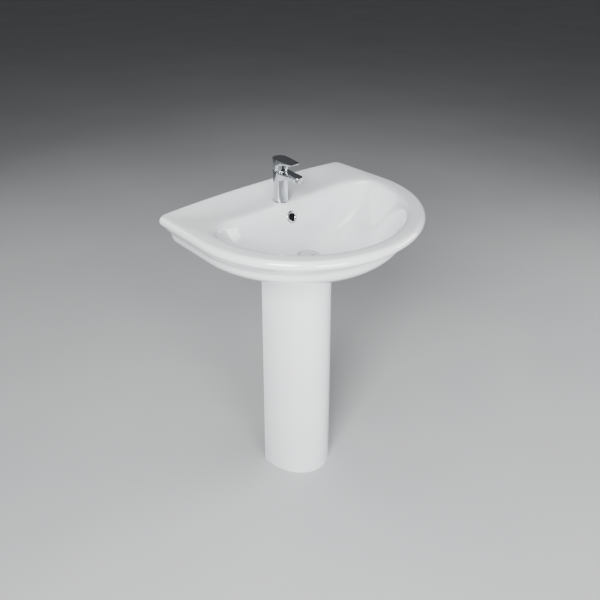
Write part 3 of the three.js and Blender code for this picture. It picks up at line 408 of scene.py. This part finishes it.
def underRings(b, offset, rise=0):
    rings = []
    for inward, down in b["under"]:
        height = mix(b["rim"] - b["creaseDrop"], b["seatHeight"], down) + rise
        waist = 4 * b["underWaist"] * inward * (1 - inward)  # greatest half way in
        rings.append((mix(b["halfWidth"] - b["creaseSide"], b["seatHalf"], inward) - offset,
                      mix(b["depth"] - b["creaseFront"], b["seatFront"], inward) - offset,
                      mix(b["turn"], b["seatTurn"], inward) - waist, offset,
                      b["rearCorner"], b["rearCorner"],
                      height, height))
    return rings


def makeBasin(b):
    skin = bowlRings(b, 0) + rimRings(b) + underRings(b, 0)
    body = ballThroughRings("basin_china", [basinRing(*ring) for ring in skin])
    applyModifier(body, "SUBSURF", levels=2, render_levels=2)

    # the hollow round the bowl, open to the pedestal
    inner = underRings(b, b["china"], rise=b["hollowRise"])[b["hollowFirst"]:]
    ceiling = (*inner[0][:6], b["rim"] - b["ceilingDrop"], b["rim"] - b["ceilingDrop"])
    hollow = ballThroughRings("hollow", [basinRing(*ring) for ring in [ceiling, *inner]])
    shell = bowlRings(b, b["china"])
    collar = (*shell[-1][:6], b["rim"] + b["collarRise"], b["rim"] + b["collarRise"])
    bowlWall = ballThroughRings("bowlWall", [basinRing(*ring) for ring in [collar, *shell[::-1]]])
    wellHalf, wellFront = b["seatHalf"] - b["wellMargin"], b["seatFront"] - b["wellMargin"]
    well = dColumn("well", wellHalf, wellHalf, wellFront, wellFront, b["seatTurn"], b["china"],
                   b["seatHeight"] - b["wellBelow"], b["seatHeight"] + b["wellAbove"])
    combine(hollow, well, "UNION")
    carve(hollow, bowlWall)
    carve(body, hollow)
    return body


def dColumn(name, lowHalf, highHalf, lowFront, highFront, turn, back, low, high, sides=120):
    # a column with a round front and a flat back, which may taper: its rim points are moved on to a D
    column = cylinder(name, 1, low * mm, high * mm, sides=sides)
    for vertex in column.data.vertices:
        angle = math.atan2(vertex.co.y, vertex.co.x)
        top = vertex.co.z > (low + high) / 2 * mm
        half, front = (highHalf, highFront) if top else (lowHalf, lowFront)
        if math.sin(angle) < 0.001:
            place = (half * math.cos(angle), turn - (front - turn) * math.sin(angle))
        else:
            share = angle / math.pi  # along one side, the back and the other side
            side = (turn - back) / (2 * (turn - back) + 2 * half)
            if share < side:
                place = (half, mix(turn, back, share / side))
            elif share > 1 - side:
                place = (-half, mix(turn, back, (1 - share) / side))
            else:
                place = (mix(half, -half, (share - side) / (1 - 2 * side)), back)
        vertex.co.x = place[0] * mm
        vertex.co.y = wallY - place[1] * mm
    return column


china = makeBasin(basin)
print("basin body made:", len(china.data.polygons), "faces")


fittings = {
    "tapFromWall": 97.5, "tapHole": 17.5, "tapHoleDepth": 60, "tapSeat": 22, "tapSeatDrop": 12.5,
    "wasteHole": 23, "wasteBoss": 39, "wasteBossDrop": 3,
    "boltSpacing": 280, "boltDrop": 72, "boltHole": 8, "boltHoleDepth": 40, "overflowDrop": 45,
    # radius and height along the overflow's axis, then the part of the hole painted near black as shade
    "overflowBoss": [(0, -21), (14, -21), (14, -5), (0, -5)],
    "overflowHole": [(0, -16), (11, -16), (11, 12), (0, 12)],
    "paintedShadeReach": 26, "paintedShadeDepth": 3,
}


def holesInBasin(body, b, f):
    # bosses for the waste and the overflow, then every hole that a fitting goes through
    wasteY = wallY - b["wasteY"] * mm
    floor = (b["rim"] - b["bowlDepth"]) * mm
    boss = cylinder("boss", f["wasteBoss"] * mm, basinLow.z, floor - f["wasteBossDrop"] * mm, y=wasteY,
                    sides=96)
    combine(body, boss, "UNION")
    combine(body, spun("overflowBoss", f["overflowBoss"], overflowAt, overflowAxis), "UNION")
    tapHoleY = wallY - f["tapFromWall"] * mm
    seatZ = (b["rim"] - f["tapSeatDrop"]) * mm
    carve(body,
          cylinder("wasteHole", f["wasteHole"] * mm, basinLow.z - overcut, floor + overcut, y=wasteY,
                   sides=96),
          cylinder("tapHole", f["tapHole"] * mm, seatZ - f["tapHoleDepth"] * mm, seatZ + 2 * overcut,
                   y=tapHoleY, sides=96),
          cylinder("tapSeat", f["tapSeat"] * mm, seatZ, seatZ + 3 * overcut, y=tapHoleY, sides=96),
          spun("overflowHole", f["overflowHole"], overflowAt, overflowAxis))
    for side in (-1, 1):
        x = side * f["boltSpacing"] / 2 * mm
        z = (b["rim"] - f["boltDrop"]) * mm
        hole = cylinder("boltHole", f["boltHole"] * mm, wallY - f["boltHoleDepth"] * mm, wallY + overcut,
                        x, z, sides=48, axis="Y")
        carve(body, hole)
    smooth(body, b["smoothAngle"])


def overflowPlace(b):
    # where the bowl's back wall passes the overflow's height, and the way it faces there
    foot = b["wasteY"] - b["wasteFloor"]
    floor, ridge = b["rim"] - b["bowlDepth"], b["rim"] - b["ridgeDrop"]
    height = b["rim"] - fittings["overflowDrop"]
    line = [(mix(foot, b["ridge"], out), mix(floor, ridge, up)) for out, up in b["bowlBack"]]
    low, high = next((a, c) for a, c in zip(line, line[1:]) if c[1] > height)
    distance = mix(low[0], high[0], (height - low[1]) / (high[1] - low[1]))
    tilt = math.atan2(low[0] - high[0], high[1] - low[1])
    return Vector((0, wallY - distance * mm, height * mm)), Vector((0, -math.cos(tilt), math.sin(tilt)))


overflowAt, overflowAxis = overflowPlace(basin)
holesInBasin(china, basin, fittings)
finish(china, "fixture", ["basin"])
# faces deep inside the overflow hole take a second, near black material: painted shade
china.data.materials.append(materials["painted_shade_china"])
paintedShadeReach, paintedShadeDepth = fittings["paintedShadeReach"] * mm, fittings["paintedShadeDepth"] * mm
for face in china.data.polygons:
    inward = face.center - overflowAt
    if inward.length < paintedShadeReach and inward.dot(overflowAxis) < -paintedShadeDepth:
        face.material_index = 1
print("basin finished:", len(china.data.polygons), "faces")


# pedestal

pedestal = {"lowHalf": 104, "highHalf": 90, "lowFront": 265, "highFront": 258, "turn": 130, "back": 121,
            "wall": 13, "footFlange": 26, "footThickness": 16, "edge": 2.6,
            "endCut": 10, "backCut": 20, "footCut": 30}


def makePedestal(p):
    low, high = (corner.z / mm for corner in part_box("pedestal"))

    def column(name, margin, back, start, end):
        lean = [(z - low) / (high - low) for z in (start, end)]
        halves = [mix(p["lowHalf"], p["highHalf"], share) + margin for share in lean]
        fronts = [mix(p["lowFront"], p["highFront"], share) + margin for share in lean]
        return dColumn(name, *halves, *fronts, p["turn"], back, start, end, sides=160)

    shell = column("pedestal_china", 0, p["back"], low, high)
    cutBack = p["back"] - p["backCut"]
    carve(shell, column("inside", -p["wall"], cutBack, low + p["footThickness"], high + p["endCut"]),
          column("footHole", -p["wall"] - p["footFlange"], cutBack, low - p["endCut"], low + p["footCut"]))
    soften(shell, p["edge"], segments=4)
    finish(shell, "fixture", ["pedestal"])


makePedestal(pedestal)
print("pedestal finished")


# tap, in mm from the foot of its body and from its axis

tapLow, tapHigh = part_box("tap_body")
tap = {"radius": 19, "height": 78.5, "bore": 12.8, "boreFloor": 48.5, "boreTop": 95,
       "aeratorOut": 60, "aeratorHole": 8.4, "mouthBottom": 55, "mouthTop": 73.3,
       "footCut": 10, "studHole": 4.3, "studDepth": 14, "studBack": 10,
       "tailHole": 5.3, "tailDepth": 22, "tailSide": 8.5, "tailFront": 3,
       # distance in front of the axis, low, high and half the width
       "spout": [(73.4, 69.2, 75.6, 5), (72.6, 68, 76.5, 7.6), (71.4, 67.6, 76.9, 9.4),
                 (69, 67.5, 77, 11.4), (65, 67.5, 77.1, 13), (46, 67.4, 77.4, 14.2),
                 (30, 62.4, 77.7, 15.6), (17, 58.4, 78, 17.4), (0, 58, 78, 18.4)],
       "lever": [(55.6, 103.7, 106.2, 10), (54.8, 103.1, 106.8, 12.8), (51.5, 102.8, 107.1, 14),
                 (33, 101.3, 107.8, 15.8), (20, 98, 108.3, 17.6), (0, 93.5, 108.8, 18.7)],
       "handleLow": 80.5, "handleHigh": 109.5, "handleRelief": 3.8, "handleFall": 1.2, "handleWall": 1.8,
       "cavityBottom": 60, "cavityTop": 87, "socketHalf": 3.8, "socketBottom": 80, "socketTop": 96.1,
       "screwHeight": 91.5, "screwReach": 40, "screwWay": 2.8, "capWay": 4.2, "capFloor": 15.6,
       "edge": 0.9, "edgeAngle": 28}
tapY = tapHigh.y - tap["radius"] * mm
tapZ = tapLow.z


def atTap(sections):
    return [(tapY - out * mm, tapZ + low * mm, tapZ + high * mm, half * mm)
            for out, low, high, half in sections]


def tapCylinder(name, radius, low, high, x=0, front=0, sides=64):
    return cylinder(name, radius * mm, tapZ + low * mm, tapZ + high * mm, x * mm, tapY - front * mm, sides)


def makeTapBody(t):
    body = tapCylinder("tap_body_chrome", t["radius"], 0, t["height"], sides=120)
    combine(body, extrudeSections("spout", atTap(t["spout"])), "UNION")
    carve(body, tapCylinder("bore", t["bore"], t["boreFloor"], t["boreTop"]),
          tapCylinder("mouth", t["aeratorHole"], t["mouthBottom"], t["mouthTop"], front=t["aeratorOut"]),
          tapCylinder("studHole", t["studHole"], -t["footCut"], t["studDepth"], front=-t["studBack"],
                      sides=32),
          *[tapCylinder("tailHole", t["tailHole"], -t["footCut"], t["tailDepth"], side * t["tailSide"],
                        t["tailFront"], sides=32) for side in (-1, 1)])
    soften(body, t["edge"], segments=4, angle=t["edgeAngle"])
    finish(body, "fixture", ["tap_body"])


def makeHandle(t):
    drum = tapCylinder("lever_handle_chrome", t["radius"], t["handleLow"], t["handleHigh"], sides=120)
    middle = tapZ + (t["handleLow"] + t["handleHigh"]) / 2 * mm
    for vertex in drum.data.vertices:
        back = (vertex.co.y - tapY) / (t["radius"] * mm)
        if vertex.co.z < middle:
            vertex.co.z += t["handleRelief"] * max(0, back) * mm
        else:
            vertex.co.z -= t["handleFall"] * (1 - back) / 2 * mm
    combine(drum, extrudeSections("lever", atTap(t["lever"])), "UNION")
    half = t["socketHalf"] * mm
    socket = cuboid("socket", (-half, tapY - half, tapZ + t["socketBottom"] * mm),
                    (half, tapY + half, tapZ + t["socketTop"] * mm))
    front, screwZ = tapY - t["screwReach"] * mm, tapZ + t["screwHeight"] * mm
    carve(drum, tapCylinder("cavity", t["radius"] - t["handleWall"], t["cavityBottom"], t["cavityTop"]),
          socket,
          cylinder("screwWay", t["screwWay"] * mm, front, tapY, 0, screwZ, sides=32, axis="Y"),
          cylinder("capWay", t["capWay"] * mm, front, tapY - t["capFloor"] * mm, 0, screwZ, sides=32,
                   axis="Y"))
    soften(drum, t["edge"], segments=4, angle=t["edgeAngle"])
    finish(drum, "lever", ["lever_handle"])


# its profile is radius and height from the mouth up
aerator = {"edge": 0.2, "profile": [(6.9, 0), (8.2, 0), (9.2, 0.8), (10, 4.5), (10, 5.5), (8.1, 5.5),
                                    (8.1, 9.1), (6.9, 9.1)]}


def makeAerator(a):
    low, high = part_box("aerator_shell")
    shell = spun("aerator_shell_chrome", a["profile"], ((low.x + high.x) / 2, (low.y + high.y) / 2, low.z))
    soften(shell, a["edge"], segments=2)
    finish(shell, "fixture", ["aerator_shell"])


makeTapBody(tap)
makeHandle(tap)
makeAerator(aerator)
print("tap finished")


# overflow ring, waste and plug

overflowRing = {"edge": 0.3, "profile": [(10.2, -6), (10.2, 1.3), (15.5, 1.3), (15.5, 2.1), (14.7, 3),
                                         (13.2, 3.5), (10.9, 3.4), (9.4, 2.2), (9.4, -6)]}


def makeOverflowRing(r):
    ring = spun("overflow_ring_chrome", r["profile"], overflowAt, overflowAxis, steps=96)
    soften(ring, r["edge"], segments=2)
    finish(ring, "fixture", ["overflow_ring"])


# heights in the flange are from its underside
waste = {"bore": 18.2, "tube": 20.5, "flangeDrop": 2.6, "edge": 0.25,
         "flange": [(20.5, 0), (31.5, 0), (31.5, 1.1), (30.6, 2), (29, 2.6), (24, 2.3), (20, 0.8),
                    (18.2, -1)],
         "slotDrop": 19, "slotHalf": (7, 30), "slotHalfHeight": 5}


def makeWaste(w):
    low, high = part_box("waste_body")
    centre = (0, (low.y + high.y) / 2, 0)
    bottom, flange = low.z / mm, high.z / mm - w["flangeDrop"]
    profile = [(w["bore"], bottom), (w["tube"], bottom)]
    body = spun("waste_body_chrome", profile + [(radius, flange + up) for radius, up in w["flange"]],
                centre, steps=96)
    slotZ, rise = (basin["rim"] - basin["bowlDepth"] - w["slotDrop"]) * mm, w["slotHalfHeight"] * mm
    for size in (w["slotHalf"], w["slotHalf"][::-1]):
        across, along = size[0] * mm, size[1] * mm
        carve(body, cuboid("slot", (-across, centre[1] - along, slotZ - rise),
                           (across, centre[1] + along, slotZ + rise)))
    soften(body, w["edge"], segments=2)
    finish(body, "fixture", ["waste_body"])


# heights in the head are from 5 mm under its crown
plug = {"stem": 3, "crown": 5, "edge": 0.2, "edgeAngle": 50,
        "head": [(3, -5), (7.5, -5), (7.5, -1), (16, -1), (16, 1), (20, 1), (20.4, 1.8), (19.6, 2.9),
                 (17, 3.7), (12, 4.5), (6, 4.9), (0, 5)]}


def makePlug(p):
    low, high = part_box("waste_plug")
    wasteLow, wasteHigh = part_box("waste_body")
    stem, seat = low.z / mm, high.z / mm - p["crown"]
    profile = [(0, stem), (p["stem"], stem)] + [(radius, seat + up) for radius, up in p["head"]]
    piece = spun("waste_plug_chrome", profile, (0, (wasteLow.y + wasteHigh.y) / 2, 0), steps=96)
    soften(piece, p["edge"], segments=2, angle=p["edgeAngle"])
    finish(piece, "plug", ["waste_plug"])


makeOverflowRing(overflowRing)
makeWaste(waste)
makePlug(plug)
print("waste and overflow finished")


# trap and pipe rose, with the grips that hands turn

def ribbed(name, radius, low, high, centre, axis, ribs, depth):
    # a band with flat topped grips round it, four points to a grip: two out and two in
    points = ribs * 4
    across = 1 if axis == "Z" else 2
    band = cylinder(name, radius * mm, low, high, *centre, sides=points, axis=axis)
    for vertex in band.data.vertices:
        x, y = vertex.co.x - centre[0], vertex.co[across] - centre[1]
        step = round(math.atan2(y, x) / (2 * math.pi) * points)
        growth = 1 + (depth / radius if step % 4 < 2 else 0)
        vertex.co.x = centre[0] + x * growth
        vertex.co[across] = centre[1] + y * growth
    return band


# the cup and the inside are measured from the bottom, the collar from its own top
bottle = {"collarDrop": 14.6, "cup": [(0, 0), (22, 0), (26, 1.6), (28.5, 6)],
          "collar": [(28.5, -11), (31.4, -10), (31.4, 0), (26.7, 0)], "neck": (26.7, 24),
          "inside": [(24, 8), (20, 3), (0, 3)], "edge": 0.4, "edgeAngle": 40,
          "grip": 31.2, "gripDrop": 9.4, "gripTop": 0.6, "gripBore": 27.5, "boreDrop": 20,
          "ribs": 30, "ribDepth": 1.2}


def makeBottle(t):
    low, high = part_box("trap_bottle")
    centre = ((low.x + high.x) / 2, (low.y + high.y) / 2)
    bottom, top = low.z / mm, high.z / mm
    collar = top - t["collarDrop"]
    profile = [(radius, bottom + up) for radius, up in t["cup"]]
    profile += [(radius, collar + up) for radius, up in t["collar"]]
    profile += [(radius, top) for radius in t["neck"]]
    profile += [(radius, bottom + up) for radius, up in t["inside"]]
    piece = spun("trap_bottle_plastic", profile, (*centre, 0), steps=96)
    grips = ribbed("grips", t["grip"], (collar - t["gripDrop"]) * mm, (collar - t["gripTop"]) * mm, centre,
                   "Z", t["ribs"], t["ribDepth"])
    carve(grips, cylinder("inside", t["gripBore"] * mm, (collar - t["boreDrop"]) * mm, top * mm, *centre,
                          sides=96))
    combine(piece, grips, "UNION")
    soften(piece, t["edge"], segments=2, angle=t["edgeAngle"])
    finish(piece, "fixture", ["trap_bottle"])


nuts = {"axes": {"trap_inlet_nut": "Z", "trap_outlet_nut": "Y"}, "ribs": 26, "ribDepth": 0.9, "ends": 6,
        "wall": 3, "edge": 0.3, "edgeAngle": 40}


def makeNuts(n):
    for node, axis in n["axes"].items():
        low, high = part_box(node)
        along = {"Z": 2, "Y": 1}[axis]
        radius = (high.x - low.x) / 2 / mm
        centre = ((low.x + high.x) / 2, (low[3 - along] + high[3 - along]) / 2)
        nut = copyOf(node, node + "_plastic")
        grips = ribbed("grips", radius - n["ribDepth"], low[along] + n["ends"] * mm,
                       high[along] - n["ends"] * mm, centre, axis, n["ribs"], n["ribDepth"])
        carve(grips, cylinder("inside", (radius - n["wall"]) * mm, low[along] - overcut,
                              high[along] + overcut, *centre, sides=96, axis=axis))
        combine(nut, grips, "UNION")
        soften(nut, n["edge"], segments=2, angle=n["edgeAngle"])
        finish(nut, "fixture", [node])


# its profile is radius and distance from the wall
pipeRose = {"edge": 0.25, "edgeAngle": 45, "profile": [(16.3, 0.3), (22, 0.3), (21.9, 1.1), (21.3, 1.8),
                                                       (19.3, 3), (18.2, 4.2), (18, 8), (16.3, 8)]}


def makeRose(r):
    low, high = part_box("pipe_rose")
    rose = spun("pipe_rose_chrome", r["profile"], (0, wallY, (low.z + high.z) / 2), (0, -1, 0), steps=96)
    soften(rose, r["edge"], segments=2, angle=r["edgeAngle"])
    finish(rose, "fixture", ["pipe_rose"])


def copyOf(node, name):
    # a copy of a CAD node's mesh, with its flat faces made whole
    piece = bpy.data.objects.new(name, frame["nodes"][node].data.copy())
    bpy.context.scene.collection.objects.link(piece)
    activate(piece)
    startEdit()
    bpy.ops.mesh.remove_doubles(threshold=mergeDistance)
    bpy.ops.mesh.dissolve_limited(angle_limit=math.radians(0.5))
    bpy.ops.object.mode_set(mode="OBJECT")
    return piece


makeBottle(bottle)
makeNuts(nuts)
makeRose(pipeRose)
print("trap finished")


# small fittings keep their CAD shape, with their edges broken

bodyOf = {node: body for body, nodes in frame["record"]["behaviour"]["bodies"].items() for node in nodes}
crispEdge = 0.35
crisp = ["wall_nut_left", "wall_nut_right", "wall_washer_left", "wall_washer_right", "wall_bush_left",
         "wall_bush_right", "tap_dome", "hot_coupler", "cold_coupler", "waste_backnut", "stud_nut",
         "trap_body", "handle_screw", "index_cap"]
for node in crisp:
    piece = copyOf(node, node + "_finished")
    soften(piece, crispEdge, segments=2, angle=40)
    finish(piece, bodyOf[node], [node])

# the nodes that stay as CAD meshes take their finish here
for node, part in frame["nodes"].items():
    slotName = "threaded_steel" if node.startswith("wall_bolt") else slotOf[node]
    part.data.materials.clear()
    part.data.materials.append(materials[slotName])
print("fittings finished")


# studio

def makeFloor(size):
    bpy.ops.object.select_all(action="DESELECT")
    bpy.ops.mesh.primitive_plane_add(size=size, location=(0, 0, 0))
    floor = newest("studio_floor")
    floor.data.materials.append(materials["studio_floor"])


def softbox(name, place, aim, size, power):
    data = bpy.data.lights.new(name, "AREA")
    data.shape = "RECTANGLE"
    data.size, data.size_y = size
    data.energy = power
    light = bpy.data.objects.new(name, data)
    bpy.context.scene.collection.objects.link(light)
    light.location = place
    light.rotation_euler = (Vector(aim) - Vector(place)).to_track_quat("-Z", "Y").to_euler()


studio = {
    "floorSize": 60, "sky": "#c9ccd0", "skyStrength": 0.15,
    # place, what it is aimed at, size in metres and power in watts
    "lights": {
        "keyBox": ((-2.0, -1.3, 2.2), (0, -0.1, 0.7), (1.1, 1.1), 135),
        "frontBox": ((-0.8, -2.7, 0.9), (0, 0, 0.5), (1.2, 1.2), 85),
        "fillBox": ((2.3, -1.4, 1.2), (0, 0, 0.5), (1.4, 1.4), 40),
        "topBox": ((-0.5, -0.3, 3.0), (0, 0, 0.8), (1.5, 1.1), 24),
        "backBox": ((-0.8, 2.6, 1.9), (0, 0, 0.6), (1.8, 1.2), 14),
    },
}
makeFloor(studio["floorSize"])
for name, (place, aim, size, power) in studio["lights"].items():
    softbox(name, place, aim, size, power)
world = bpy.data.worlds.new("studio")
world.use_nodes = True
world.node_tree.nodes["Background"].inputs["Color"].default_value = hexColour(studio["sky"])
world.node_tree.nodes["Background"].inputs["Strength"].default_value = studio["skyStrength"]
bpy.context.scene.world = world

# the camera stands in front and to the left, at shoulder height
viewpoint = {"place": (-0.8804, -0.9479, 1.4058), "forward": (0.5620, 0.6334, -0.5319), "lens": 34.77,
             "sensor": 36, "reach": 100}
cameraData = bpy.data.cameras.new("camera")
cameraData.lens = viewpoint["lens"]
cameraData.sensor_width = viewpoint["sensor"]
cameraData.clip_end = viewpoint["reach"]
camera = bpy.data.objects.new("camera", cameraData)
bpy.context.scene.collection.objects.link(camera)
camera.location = viewpoint["place"]
camera.rotation_euler = Vector(viewpoint["forward"]).to_track_quat("-Z", "Y").to_euler()
bpy.context.scene.camera = camera
print("studio ready")
